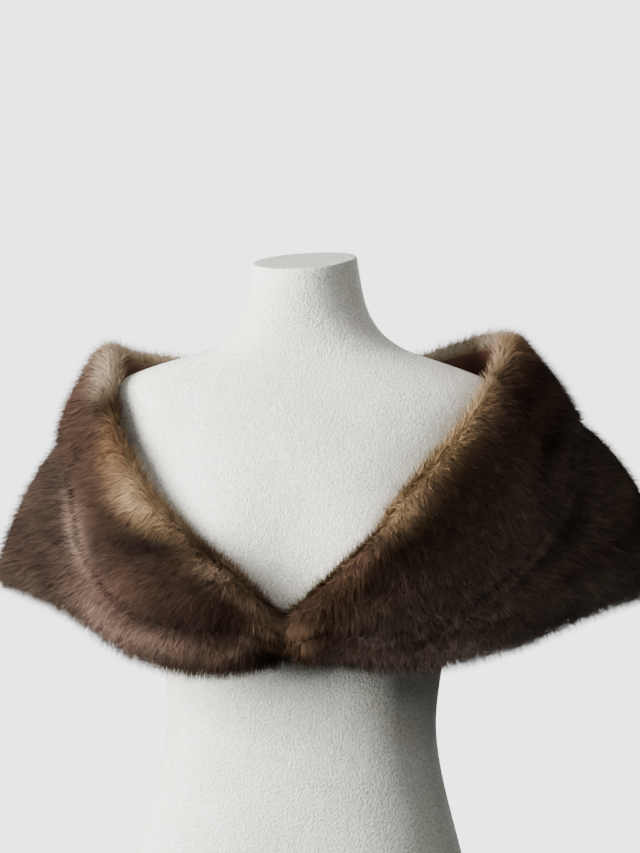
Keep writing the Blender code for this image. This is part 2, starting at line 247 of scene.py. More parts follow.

# %% Painted papier-mache
# White emulsion over layered paper: dull, faintly warm, and pebbled by the paper's pulp. The eye gets a
# fine grain of about 2 mm whose hollows are painted darker as painted shade, softer dents of 30 mm and a
# few brush marks, dust in pits 10 mm apart, and a greyer cap on the neck.
form_paint, tree, shader = new_material("Painted papier-mache", Roughness=0.62, IOR=1.5)
place = add_node(tree, "ShaderNodeTexCoord").outputs["Object"]
pebble = add_node(tree, "ShaderNodeTexNoise", {"Vector": place, "Scale": 470.0, "Detail": 2.0, "Roughness": 0.65})
dents = add_node(tree, "ShaderNodeTexNoise", {"Vector": place, "Scale": 34.0, "Detail": 3.0})
brushed = add_node(tree, "ShaderNodeMapping", {"Vector": place, "Scale": (60.0, 60.0, 14.0)})
strokes = add_node(tree, "ShaderNodeTexNoise", {"Vector": brushed.outputs["Vector"], "Scale": 1.0, "Detail": 4.0})
patches = add_node(tree, "ShaderNodeTexNoise", {"Vector": place, "Scale": 9.0, "Detail": 2.0})
pits = add_node(tree, "ShaderNodeTexVoronoi", {"Vector": place, "Scale": 95.0})
pit_edge = add_node(tree, "ShaderNodeMapRange", {"Value": pits.outputs["Distance"], "From Min": 0.03, "From Max": 0.10})
grain = add_node(tree, "ShaderNodeMath", {0: pebble.outputs["Fac"], 1: 0.85}, operation="MULTIPLY")
hills = add_node(
    tree, "ShaderNodeMath", {0: strokes.outputs["Fac"], 1: 0.35, 2: grain.outputs["Value"]}, operation="MULTIPLY_ADD"
)
relief = add_node(
    tree, "ShaderNodeMath", {0: dents.outputs["Fac"], 1: 0.6, 2: hills.outputs["Value"]}, operation="MULTIPLY_ADD"
)
whites = add_node(
    tree, "ShaderNodeValToRGB", {"Fac": patches.outputs["Fac"]},
    stops=[(0.3, "#E2E2D4"), (0.5, "#F3F2E9"), (0.7, "#EBE5D5")],
)
dusted = add_node(
    tree, "ShaderNodeMix", {0: pit_edge.outputs["Result"], 6: linear("#BDBAB0"), 7: whites.outputs["Color"]},
    data_type="RGBA",
)
# painted shade: the low spots of the fine pebble grain, which the bump also sinks, are painted darker
pebble_painted_shade = add_node(
    tree, "ShaderNodeValToRGB", {"Fac": pebble.outputs["Fac"]}, stops=[(0.34, "#D4D4CE"), (0.58, "#FFFFFF")]
)
grain_with_painted_shade = add_node(
    tree, "ShaderNodeMix", {0: 1.0, 6: dusted.outputs[2], 7: pebble_painted_shade.outputs["Color"]},
    data_type="RGBA", blend_type="MULTIPLY",
)
on_cap = add_node(tree, "ShaderNodeAttribute", attribute_name="cap")
capped = add_node(
    tree, "ShaderNodeMix", {0: on_cap.outputs["Fac"], 6: grain_with_painted_shade.outputs[2], 7: linear("#C2C3B8")}, data_type="RGBA"
)
tree.links.new(capped.outputs[2], shader.inputs["Base Color"])
bump = add_node(tree, "ShaderNodeBump", {"Height": relief.outputs["Value"], "Distance": 0.0024, "Strength": 0.75})
tree.links.new(bump.outputs["Normal"], shader.inputs["Normal"])
form.data.materials.append(form_paint)
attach(form, "root")
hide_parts("dress_form")

# %% [markdown]
# ## The leather under the fur
#
# A mink pelt is thin leather with two coats of hair: a dense soft underfur and longer glossy guard
# hairs. The CAD solids hold leather and hair together, so the leather is a copy of each solid whose
# furry faces are drawn in by the depth of the lying hair. A face is furry when nothing lies on it
# within a few millimetres, which we find by looking out from it along its normal.

# %% The run of the cape
# The neck line, the collar's edge and the hem, from the front opening round the wearer's right side,
# the back and the left side to the opening again: the route of the solids, in millimetres.
CAPE_ROUTE = np.array([
    [(-4, -122, 356), (-4, -122, 349), (-4, -121, 341)],
    [(-30, -129, 375), (-38, -132, 360), (-42, -130, 334)],
    [(-60, -130, 405), (-84, -138, 365), (-90, -137, 330)],
    [(-95, -120, 433), (-130, -128, 371), (-146, -126, 341)],
    [(-130, -102, 464), (-170, -108, 394), (-200, -100, 369)],
    [(-162, -76, 505), (-197, -82, 436), (-256, -66, 388)],
    [(-184, -42, 560), (-213, -44, 488), (-286, -32, 396)],
    [(-193, 2, 606), (-229, 2, 535), (-293, 8, 400)],
    [(-185, 48, 602), (-218, 54, 512), (-279, 58, 390)],
    [(-146, 84, 592), (-172, 104, 490), (-218, 108, 366)],
    [(-78, 104, 583), (-92, 126, 476), (-118, 133, 344)],
    [(0, 108, 580), (0, 134, 470), (0, 141, 334)],
    [(80, 105, 588), (98, 126, 478), (130, 133, 346)],
    [(152, 86, 607), (188, 106, 498), (250, 108, 370)],
    [(194, 50, 617), (243, 56, 531), (326, 60, 393)],
    [(205, 2, 612), (255, 2, 554), (345, 6, 403)],
    [(188, -38, 578), (254, -40, 486), (326, -44, 390)],
    [(160, -66, 536), (224, -74, 432), (274, -84, 376)],
    [(127, -93, 498), (184, -102, 392), (212, -122, 353)],
    [(95, -114, 461), (140, -124, 367), (150, -136, 338)],
    [(62, -127, 420), (88, -134, 359), (94, -137, 336)],
    [(28, -128, 383), (38, -131, 360), (38, -127, 342)],
    [(-4, -122, 356), (-4, -122, 349), (-4, -121, 341)],
]) * MM
STEPS_PER_ROW = 8
share = np.linspace(0, len(CAPE_ROUTE) - 1, STEPS_PER_ROW * (len(CAPE_ROUTE) - 1) + 1)
row = np.minimum(share.astype(int), len(CAPE_ROUTE) - 2)
part = (share - row)[:, None, None]
ROUTE = CAPE_ROUTE[row] * (1 - part) + CAPE_ROUTE[row + 1] * part
NECK_LINE, COLLAR_EDGE, HEM = ROUTE[:, 0], ROUTE[:, 1], ROUTE[:, 2]
print("neck line", round(float(np.linalg.norm(np.diff(NECK_LINE, axis=0), axis=1).sum()), 3), "m round")


def distance_to(line, points):
    """How far each point is from the nearest point of a line, and that point's place along it from 0 to 1."""
    far = np.full(len(points), np.inf)
    along = np.zeros(len(points))
    for i, corner in enumerate(line):
        d = np.linalg.norm(points - corner, axis=1)
        along = np.where(d < far, i / (len(line) - 1), along)
        far = np.minimum(far, d)
    return far, along


def smooth(value, low, high):
    """0 below low, 1 above high and an S between them."""
    t = np.clip((value - low) / (high - low), 0, 1)
    return t * t * (3 - 2 * t)


def unit(vectors):
    """The vectors at a length of one."""
    return vectors / np.maximum(np.linalg.norm(vectors, axis=1), 1e-9)[:, None]


def soft_noise(points, size, seed):
    """Random hills from -1 to 1, about this size across, the same on every run."""
    table = np.random.default_rng(seed).uniform(-1, 1, (32, 32, 32))
    q = points / size
    cell = np.floor(q).astype(int)
    f = q - cell
    f = f * f * (3 - 2 * f)
    total = np.zeros(len(points))
    for dx in (0, 1):
        for dy in (0, 1):
            for dz in (0, 1):
                step = np.array((dx, dy, dz))
                weight = np.prod(np.where(step == 1, f, 1 - f), axis=1)
                i, j, k = ((cell + step) % 32).T
                total += weight * table[i, j, k]
    return total


# %% The front plan
def front_plan(points):
    """Where points show on a sheet of 640 by 853 mm held up in front of the cape, in millimetres from
    its top left corner, and how squarely they face it. Marks on the front are placed on this sheet."""
    ahead = np.array((LOOKED_AT - CAMERA).normalized())
    right = unit(np.cross(ahead, (0, 0, 1))[None])[0]
    up = np.cross(right, ahead)
    d = points - np.array(CAMERA)
    k = VIEW_DISTANCE / (d @ ahead)
    return np.stack([PICTURE[0] / 2 + k * (d @ right), PICTURE[1] / 2 - k * (d @ up)], axis=1)


def ellipse(plan, across, down, length, width, turn):
    """The squared distance of points on the plan from an ellipse's middle, which is 1 on its rim."""
    d = plan - (across, down)
    c, s = math.cos(math.radians(turn)), math.sin(math.radians(turn))
    u, v = d[:, 0] * c + d[:, 1] * s, d[:, 1] * c - d[:, 0] * s
    return (u / length) ** 2 + (v / width) ** 2


# Soft swells and creases of the front, each (across, down, half length, half width, turn, height),
# in millimetres and degrees: a swell lifts the leather and a crease, below zero, lets it sink
SWELLS = [
    (222, 580, 34, 9, 12, 6.0),
    (212, 571, 26, 4, 14, -5.0),
    (205, 622, 36, 7, 8, -4.0),
    (266, 629, 17, 8, 20, 7.0),
    (242, 643, 10, 12, 70, 6.0),
    (256, 641, 4, 12, 70, -6.0),
    (229, 645, 4, 12, 80, -6.0),
    (73, 488, 5, 26, 8, -5.0),
    (66, 490, 4, 28, 8, 5.0),
    (142, 546, 30, 9, -32, -5.0),
    (287, 632, 9, 26, 0, 6.0),
    (116, 376, 30, 10, 82, 5.0),
    (330, 598, 20, 8, -35, 5.0),
    (318, 628, 10, 9, 30, 5.0),
    (345, 618, 22, 5, 12, -6.0),
    (306, 640, 4, 12, 75, -5.0),
    (390, 585, 34, 7, -10, -4.0),
    (548, 440, 5, 30, 18, -6.0),
    (566, 515, 6, 34, 22, -7.0),
    (505, 430, 26, 12, -60, 4.0),
]


def swell_of(points, facing):
    """How far the front's swells and creases lift the leather at each point."""
    plan = front_plan(points)
    lift = np.zeros(len(points))
    for *place, height in SWELLS:
        lift += height * MM * np.exp(-ellipse(plan, *place))
    return lift * smooth(facing, 0.1, 0.5)


# Broad fullness of the coat where the cape turns away at its sides, each (x, y, z, radius, height) in millimetres
BULGES = [
    (-288, -22, 432, 62, 7.0),
    (-222, -26, 560, 50, 5.0),
    (-140, 86, 592, 50, 4.0),
    (-60, -140, 352, 40, 2.0),
    (168, 72, 617, 42, 6.0),
]


def bulge_of(points):
    """How far the broad fullness lifts the leather at each point."""
    lift = np.zeros(len(points))
    for x, y, z, radius, height in BULGES:
        lift += height * MM * np.exp(-(np.linalg.norm(points / MM - (x, y, z), axis=1) / radius) ** 2)
    return lift


# %% Leather
FUR_DEPTH = 6.5 * MM
HAIR_SHARE = 0.42  # of a thin wall, no more than this is hair
COVER_REACH = 1.7 * MM  # a face with another solid this close in front of it is covered and grows no hair
OTHER_WALL = 60 * MM  # the wall's far side is looked for within this reach
DEPTH_ROUNDS = 6
COLLAR_THINS, BODY_SWELLS = 6.0, -3.5  # millimetres at the collar's edge
# inside the collar the satin reaches this far above the neck line, and down to this height in metres
SATIN_TOP, SATIN_FOOT = 4 * MM, 0.52
FUR_NODES = [n for n in sorted(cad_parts) if n.startswith(("body_", "collar_"))]


def corners_of(mesh):
    """The places of a mesh's vertices, as one array."""
    co = np.empty(len(mesh.vertices) * 3)
    mesh.vertices.foreach_get("co", co)
    return co.reshape(-1, 3)


def tree_of(nodes):
    """One search tree of several CAD nodes' faces."""
    points, faces = [], []
    for name in nodes:
        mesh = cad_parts[name].data
        faces += [tuple(i + len(points) for i in p.vertices) for p in mesh.polygons]
        points += [v.co.copy() for v in mesh.vertices]
    return BVHTree.FromPolygons(points, faces)


def furry_normals(mesh, furry):
    """Each vertex's normal from its furry faces alone, so that seams don't turn it."""
    normals = np.zeros((len(mesh.vertices), 3))
    for p, is_furry in zip(mesh.polygons, furry):
        if is_furry:
            for i in p.vertices:
                normals[i] += np.array(p.normal) * p.area
    return unit(normals), np.linalg.norm(normals, axis=1) > 0


def draw_in(piece, node):
    """Marks the furry faces, draws them in by the hair's depth and keeps that depth on every vertex."""
    mesh = piece.data
    others = tree_of([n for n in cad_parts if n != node])
    own = tree_of([node])
    furry = np.array([
        others.ray_cast(p.center + p.normal * 0.05 * MM, p.normal, COVER_REACH)[0] is None for p in mesh.polygons
    ])
    normals, has_fur = furry_normals(mesh, furry)
    co = corners_of(mesh)
    depth = np.zeros(len(co))
    for i in np.flatnonzero(has_fur):
        n = Vector(normals[i])
        hit = own.ray_cast(Vector(co[i]) - n * 0.3 * MM, -n, OTHER_WALL)
        depth[i] = min(FUR_DEPTH, HAIR_SHARE * (hit[3] if hit[0] is not None else 0.0))
    ends = np.array([e.vertices for e in mesh.edges])
    for _ in range(DEPTH_ROUNDS):  # the depth changes softly from vertex to vertex
        total, count = np.zeros(len(co)), np.zeros(len(co))
        for a, b in (ends.T, ends.T[::-1]):
            np.add.at(total, a, depth[b])
            np.add.at(count, a, 1)
        depth = np.where(has_fur, 0.5 * depth + 0.5 * total / np.maximum(count, 1), 0)
    ahead = unit(np.array(CAMERA) - co)
    lift = (swell_of(co, (normals * ahead).sum(axis=1)) + bulge_of(co)) * np.minimum(depth / FUR_DEPTH, 1)
    # the collar thins out towards its edge and the body swells up to meet it, so that the coats run together
    at_edge = 1 - smooth(distance_to(COLLAR_EDGE, co)[0], 2 * MM, 34 * MM)
    sharp = 1 - smooth(np.linalg.norm(front_plan(co) - (66, 470), axis=1), 50, 110)
    at_edge = at_edge * (1 - 0.75 * sharp) * smooth(depth, 2 * MM, 5 * MM)
    thinned = at_edge * (COLLAR_THINS if node.startswith("collar") else BODY_SWELLS) * MM
    at_hem = 0 if node.startswith("collar") else 1 - smooth(distance_to(HEM, co)[0], 6 * MM, 16 * MM)
    co = co - normals * (depth * (1 - 0.5 * at_hem) - lift + thinned)[:, None]
    mesh.vertices.foreach_set("co", co.ravel())
    mesh.update()
    # inside the neck the fur facing is a narrow rim, and the satin starts below it
    centres = np.array([p.center for p in mesh.polygons])
    inside = (np.array([p.normal for p in mesh.polygons]) * unit(centres * (1, 1.2, 0))).sum(axis=1) < -0.25
    neck_height = np.interp(distance_to(NECK_LINE, centres)[1], np.linspace(0, 1, len(NECK_LINE)), NECK_LINE[:, 2])
    deep_inside = inside & (centres[:, 2] < neck_height + SATIN_TOP) & (centres[:, 2] > SATIN_FOOT)
    if node.startswith("collar"):
        furry &= ~deep_inside
        mesh.polygons.foreach_set("material_index", deep_inside.astype(int))
    mesh.attributes.new("fur_depth", "FLOAT", "POINT").data.foreach_set("value", depth)
    mesh.attributes.new("furry", "BOOLEAN", "FACE").data.foreach_set("value", furry)
    mesh.update()
    return furry_normals(mesh, furry)[0]


leathers, fur_normals = {}, {}
for node in FUR_NODES:
    skin = welded_copy(node, node + "_leather", 55)
    fur_normals[node] = draw_in(skin, node)
    leathers[node] = skin
    depths = [d.value for d in skin.data.attributes["fur_depth"].data]
    print(skin.name, len(skin.data.polygons), "faces, hair up to", round(1000 * max(depths), 1), "mm deep")

# %% [markdown]
# ## The colours of the pelts
#
# Mink is sewn from many pelts whose backs are dark and whose flanks are light, so a cape is striped:
# here the stripes run round it, tan along the roll of the collar, then a dark band, then mid browns
# that turn greyer towards the hem. We work the stripes out from how far a point lies between the
# neck line, the collar's edge and the hem, and add the listed patches that show on the front.

# %% Stripes round the cape
# the palest stops, at the roll's edge, are partly the roll's own tan and partly painted light for its inner side, which
# lies in shade
COLLAR_STRIPES = [
    (0.00, "#B59D7C"), (0.06, "#A58D6B"), (0.12, "#86704F"), (0.20, "#5A4231"), (0.32, "#3A2A20"), (0.46, "#3C2C23"),
    (0.62, "#443328"), (0.76, "#3C2E26"), (0.90, "#46382F"), (1.00, "#463930"),
]
BODY_STRIPES = [
    (0.00, "#44372E"), (0.25, "#40332B"), (0.45, "#47392F"), (0.60, "#382B23"),
    (0.80, "#463A31"), (1.00, "#4C4037"),
]


def stripe_colour(share, stripes):
    """The stripes' colour at each share of the way between a piece's two edges."""
    at = [s for s, _ in stripes]
    colours = np.array([linear(c)[:3] for _, c in stripes])
    return np.stack([np.interp(share, at, colours[:, i]) for i in range(3)], axis=1)


# Patches of the front, each (across, down, half length, half width, turn, colour, strength), on the
# front plan in millimetres and degrees. The hair hides its own roots, so a patch shows 6 to 10 mm further
# down along the nap than where it is placed. Besides the pelts' own colours, some patches are painted
# light: highlights and a grey sheen on lit ridges, shadow in creases, and lifts of shaded places.
PATCH_EDGE = 0.7  # how fast a patch fades round its rim
PATCHES = [
    (85, 400, 16, 34, 12, "#5A443A", 0.8),
    # painted light: the roll's top on the picture's left lies in shade, and is painted pale tan
    (113, 372, 9, 26, 10, "#EFDCC2", 0.9),
    (108, 411, 18, 11, 10, "#23170F", 1.0),
    (92, 470, 9, 44, 5, "#4A382D", 0.7),
    (122, 450, 10, 30, -12, "#8C6C50", 0.9),
    (148, 500, 28, 15, 52, "#B39A7A", 0.95),
    (172, 520, 26, 12, 42, "#BDA07C", 0.85),
    (163, 543, 44, 15, 20, "#180C07", 1.0),
    # painted highlight on the lit ridge of the collar
    (232, 574, 22, 9, 20, "#D6BA9B", 0.85),
    (190, 610, 30, 10, 12, "#44322A", 0.7),
    (110, 585, 26, 14, 30, "#765D52", 0.6),
    # painted sheen, partly the pelts' own grey: this row and the next two paint a pale grey where light glances along
    # the hair
    (84, 538, 8, 36, -10, "#937E71", 0.8),
    (105, 612, 30, 9, 42, "#9B8175", 0.8),
    (165, 638, 36, 9, 14, "#A88D7E", 0.65),
    (30, 545, 22, 26, 0, "#3E2F29", 0.7),
    # painted sheen, partly the pelts' own grey: this row and the next
    (217, 650, 15, 12, 0, "#94796A", 0.6),
    (246, 640, 9, 14, 15, "#A88E7C", 0.6),
    # painted highlights on the lumps at the front opening: this row and the next
    (272, 626, 12, 8, 0, "#D5B491", 0.8),
    (297, 634, 10, 14, 0, "#AC8B6E", 0.7),
    (480, 374, 10, 28, 22, "#5F4E3E", 0.9),
    (508, 348, 22, 8, 4, "#8A6E55", 0.7),
    (446, 452, 44, 9, -52, "#C4A67C", 0.9),
    (404, 512, 26, 10, -48, "#E7C598", 0.95),
    (372, 548, 20, 10, -45, "#795E4A", 0.8),
    (335, 586, 24, 12, -45, "#6D5542", 0.6),
    # painted light: lifts the shaded collar on the picture's right
    (490, 470, 24, 44, 20, "#6C5A4D", 0.65),
    (520, 620, 60, 16, -14, "#362C26", 0.8),
    (474, 612, 24, 6, -18, "#8A786B", 0.6),
    # painted light: lifts the shaded collar on the picture's right
    (455, 545, 50, 24, -20, "#706156", 0.7),
    (400, 652, 60, 9, 0, "#4C3E36", 0.7),
    # painted shadow in the creases along the collar's edge: this row and the next
    (547, 446, 6, 22, 16, "#1B1513", 0.6),
    (568, 530, 15, 32, 25, "#1B1513", 0.6),
    (258, 602, 30, 8, 42, "#C3A68A", 0.75),
    # painted highlights along the roll: this row and the next
    (140, 458, 26, 6, 62, "#D8BC98", 0.8),
    (178, 512, 34, 6, 48, "#F0DAB8", 0.85),
    # painted shade at the edge of the front opening
    (220, 556, 22, 7, 42, "#604A3B", 0.7),
]


def pelt_colour(points, normals, share, stripes, seed):
    """The colour of the hair at each point: stripes, the front's patches, painted light on shaded sides and a little
    unevenness.
    """
    drift = 0.05 * soft_noise(points, 60 * MM, seed) + 0.025 * soft_noise(points, 18 * MM, seed + 1)
    # painted light: the wearer's left side lies in the lamps' shade, so its pelts are painted greyer and paler to lift
    # it, with less tan at the roll
    painted_light_left = smooth(points[:, 0], 20 * MM, 110 * MM)[:, None]
    # the roll is tan all the way down its inner side, partly its own tan and partly painted light on a side that lies
    # in shade, and behind the neck it is painted palest, as painted light
    inner = smooth(-(normals * unit(points * (1.0, 1.2, 0.0))).sum(axis=1), 0.0, 0.5)
    inner *= (1 - smooth(share, 0.35, 0.55)) * (stripes is COLLAR_STRIPES)
    share = np.clip(share + drift + 0.08 * painted_light_left[:, 0], 0, 1) * (1 - inner)
    colour = stripe_colour(share, stripes)
    painted_light_behind_neck = (inner * smooth(points[:, 1], 0.0, 50 * MM))[:, None]
    colour = colour + (np.array(linear("#EED9BC")[:3]) - colour) * 0.85 * painted_light_behind_neck
    colour = colour * (1 + painted_light_left * (1 - 0.9 * inner[:, None]) * (1.5, 1.9, 2.3))
    plan = front_plan(points)
    ahead = unit(np.array(CAMERA) - points)
    facing = smooth((normals * ahead).sum(axis=1), -0.15, 0.25) * smooth(-points[:, 1], -60 * MM, -10 * MM)
    for *place, shade, strength in PATCHES:
        weight = strength * facing * np.exp(-PATCH_EDGE * ellipse(plan, *place))
        colour += (np.array(linear(shade)[:3]) - colour) * weight[:, None]
    uneven = 1 + 0.18 * soft_noise(points, 9 * MM, seed + 2) + 0.24 * soft_noise(points, 26 * MM, seed + 3)
    return np.clip(colour * uneven[:, None], 0, 1)


# %% [markdown]
# ## The hair
#
# Blender's hair can't be kept in this part, which is plain meshes, so the coat is modelled: each lock of
# a few hairs is one narrow blade, broad at its foot in the leather and pointed at its tip, that lies
# along the nap and ends where the solid's surface is. A mink has about ten thousand hairs to a square
# centimetre. A fiftieth of them, each as broad as a lock, reads the same at this distance.

# %% The nap
def nap_of(points, normals):
    """The way the hair lies: down and outwards from the neck on the outside, over the roll and up its inside."""
    out = unit(points * (1.0, 1.2, 0.0))
    outside = smooth((normals * out).sum(axis=1), -0.35, 0.35)[:, None] * 2 - 1
    fan = unit(points - (0.0, -0.01, 0.66))
    lay = out * 0.45 - outside * (0.0, 0.0, 0.9) + fan * (0.55, 0.35, 0.2)
    # near the hem it falls steeply
    low = 1 - smooth(distance_to(HEM, points)[0], 12 * MM, 50 * MM)
    lay = lay - (low * smooth(outside[:, 0], -0.2, 0.6))[:, None] * (0.0, 0.0, 1.1)
    # the two fronts' coats brush across the opening at the centre and close it
    closing = 1 - smooth(np.abs(points[:, 0] + 4 * MM), 4 * MM, 22 * MM)
    lay = lay - closing[:, None] * np.sign(points[:, :1] + 4 * MM) * (points[:, 1:2] < 0) * (1.3, 0.0, 0.0)
    # and everywhere it turns a little from place to place
    swirl = np.cross(normals, lay)
    lay = lay + swirl * (0.30 * soft_noise(points, 45 * MM, 5) + 0.16 * soft_noise(points, 14 * MM, 6))[:, None]
    return unit(lay - normals * (lay * normals).sum(axis=1)[:, None])


# %% Locks of hair
LOCKS_PER_MM2 = 1.92
LOCK_LENGTH, LOCK_WIDTH = 15 * MM, 0.36 * MM
MOST_LOCKS = 190000  # in one piece, so that each stays under 200,000 triangles
STRAY_SHARE = 0.26  # of the locks, guard hairs that stand up from the others
TURN, STRAY_TURN = 0.22, 0.45  # radians, how far a lock's way wanders from the nap
LOCK_RISE, STRAY_RISE = 0.4, (2.0, 11.0)  # millimetres above the hair's own depth
LOCK_REACH, STRAY_REACH = (0.6, 4.0), (4.5, 15.0)  # millimetres that a tip may end outside the solid
PAST_EDGE = {"body": 10.0, "collar": 15.0}  # and past a free edge: the collar's hair lies on over the body's
CLUMP = 3.6 * MM
TRIM_ROUNDS, SHORTER, FLATTER = 6, 0.76, 0.94


def plant(skin, node, per_mm2, seed):
    """Random roots over a leather's furry faces: place, normal and hair depth of each."""
    mesh = skin.data
    mesh.calc_loop_triangles()
    triangles = np.empty(len(mesh.loop_triangles) * 3, int)
    mesh.loop_triangles.foreach_get("vertices", triangles)
    faces = np.empty(len(mesh.loop_triangles), int)
    mesh.loop_triangles.foreach_get("polygon_index", faces)
    furry = np.empty(len(mesh.polygons), bool)
    mesh.attributes["furry"].data.foreach_get("value", furry)
    triangles = triangles.reshape(-1, 3)[furry[faces]]
    co = corners_of(mesh)
    depth = np.empty(len(co))
    mesh.attributes["fur_depth"].data.foreach_get("value", depth)
    a, b, c = co[triangles].transpose(1, 0, 2)
    areas = np.linalg.norm(np.cross(b - a, c - a), axis=1) / 2
    rng = np.random.default_rng(seed)
    count = int(areas.sum() / MM**2 * per_mm2)
    chosen = triangles[np.searchsorted(np.cumsum(areas) / areas.sum(), rng.random(count))]
    u, v = rng.random(count), rng.random(count)
    u, v = np.where(u + v > 1, 1 - u, u), np.where(u + v > 1, 1 - v, v)
    shares = np.stack([1 - u - v, u, v], axis=1)[:, :, None]
    roots = (co[chosen] * shares).sum(axis=1)
    normals = unit((fur_normals[node][chosen] * shares).sum(axis=1))
    deep = (depth[chosen] * shares[:, :, 0]).sum(axis=1)
    return roots, normals, deep, areas.sum(), rng


def comb(roots, normals, deep, node, rng):
    """The foot and tip of each lock, its side, whether it strays and the way it faces: combed along the nap,
    gathered in clumps and kept near the solid's surface."""
    count = len(roots)
    nap = nap_of(roots, normals)
    # on an edge that faces down the hair hangs over the rim instead of standing off it
    out = unit(roots * (1.0, 1.2, 0.0))
    hang = smooth(-normals[:, 2], 0.3, 0.75)
    facing = unit(normals * (1 - hang)[:, None] + out * hang[:, None])
    side = np.cross(facing, nap)
    stray = rng.random(count) < STRAY_SHARE
    turn = rng.normal(0, TURN, count) + np.where(stray, rng.normal(0, STRAY_TURN, count), 0)
    way = nap * np.cos(turn)[:, None] + side * np.sin(turn)[:, None]
    over = unit(out * 0.5 - (0, 0, 1) + rng.normal(0, 0.2, roots.shape))
    way = unit(way * (1 - hang)[:, None] + over * hang[:, None])
    side = unit(np.cross(facing, way))
    # a lock is shorter where the coat is thin, and longer where it frames a free edge
    length = LOCK_LENGTH * rng.uniform(0.65, 1.15, count) * np.clip(0.45 + 0.55 * deep / FUR_DEPTH, 0.4, 1)
    edge = HEM if node.startswith("body") else COLLAR_EDGE
    at_edge = 1 - smooth(distance_to(edge, roots)[0], 8 * MM, 18 * MM)
    if node.startswith("body"):
        length *= 1 + hang * (0.8 + 0.9 * soft_noise(roots, 6 * MM, 13))  # the hem ends in small tufts
    else:
        length *= 1 + 0.7 * at_edge
    rise = deep * rng.uniform(0.75, 1.1, count) + np.where(stray, rng.uniform(*STRAY_RISE, count), LOCK_RISE) * MM
    rise = rise * (1 - hang)
    # clumps: neighbouring tips lean towards the same hills of a fine noise
    here = soft_noise(roots, CLUMP, 11)
    beside = [soft_noise(roots + way_there * 0.8 * MM, CLUMP, 11) for way_there in (side, nap)]
    lean = np.stack([beside[0] - here, beside[1] - here], axis=1)
    gather = side * lean[:, :1] * 1.7 * MM + nap * lean[:, 1:] * 1.2 * MM
    foot = roots - normals * (0.4 + 3.0 * hang)[:, None] * MM
    skin = tree_of([node])
    past = PAST_EDGE[node.split("_")[0]] * at_edge
    allowed = np.where(stray, rng.uniform(*STRAY_REACH, count), rng.uniform(*LOCK_REACH, count) + past) * MM
    allowed = allowed + bulge_of(roots)
    tip, todo = np.empty_like(foot), np.arange(count)
    for _ in range(TRIM_ROUNDS):  # a lock that would end too far outside the solid is cut shorter
        tip[todo] = foot[todo] + way[todo] * length[todo][:, None] + normals[todo] * rise[todo][:, None] + gather[todo]
        long = []
        for i in todo:
            near, normal, _, far = skin.find_nearest(Vector(tip[i]))
            if far > allowed[i] and (Vector(tip[i]) - near).dot(normal) > 0:
                long.append(i)
        todo = np.array(long, int)
        length[todo] *= SHORTER
        rise[todo] *= FLATTER
    return foot, tip, side, stray, facing


def blades(name, foot, tip, side, colour, soft, stray, rng):
    """A mesh of blades, each one narrow triangle, broad at its foot and pointed at its tip."""
    count = len(foot)
    run = unit(tip - foot)
    twist = rng.uniform(-0.9, 0.9, count) * np.where(stray, 1.7, 1.0)
    across = unit(side - run * (side * run).sum(axis=1)[:, None])
    across = across * np.cos(twist)[:, None] + np.cross(run, across) * np.sin(twist)[:, None]
    half = (LOCK_WIDTH / 2 * rng.uniform(0.7, 1.3, count) * np.where(stray, 1.35, 1.0))[:, None]
    co = np.stack([foot + across * half, foot - across * half, tip], axis=1)
    mesh = bpy.data.meshes.new(name)
    mesh.vertices.add(count * 3)
    mesh.vertices.foreach_set("co", co.ravel())
    mesh.loops.add(count * 3)
    mesh.loops.foreach_set("vertex_index", np.arange(count * 3))
    mesh.polygons.add(count)
    mesh.polygons.foreach_set("loop_start", np.arange(0, count * 3, 3))
    mesh.update(calc_edges=True)
    pelt = np.ones((count, 3, 4))
    pelt[:, :, :3] = colour[:, None, :]
    mesh.attributes.new("pelt", "FLOAT_COLOR", "POINT").data.foreach_set("color", pelt.ravel())
    along = np.tile((0.0, 0.0, 1.0), count)
    mesh.attributes.new("along_hair", "FLOAT", "POINT").data.foreach_set("value", along)
    lot = np.repeat(rng.random(count), 3)
    mesh.attributes.new("hair_lot", "FLOAT", "POINT").data.foreach_set("value", lot)
    # one small cell of the map for each blade, so that a baked copy keeps every blade's colour
    cells = math.ceil(math.sqrt(count / 2.8))
    wide = math.ceil(count / cells)
    x, y = (np.arange(count) % wide) / wide, (np.arange(count) // wide) / cells
    w, h = 1 / wide, 1 / cells
    corners = ((0.1, 0.06), (0.9, 0.06), (0.5, 0.94))
    spots = np.stack([np.stack([x + w * a, y + h * b], axis=1) for a, b in corners], axis=1)
    mesh.uv_layers.new(name="OFBake").data.foreach_set("uv", spots.ravel())
    piece = bpy.data.objects.new(name, mesh)
    bpy.context.scene.collection.objects.link(piece)
    mesh.shade_smooth()
    mesh.normals_split_custom_set_from_vertices(np.repeat(soft, 3, axis=0).tolist())
    return piece


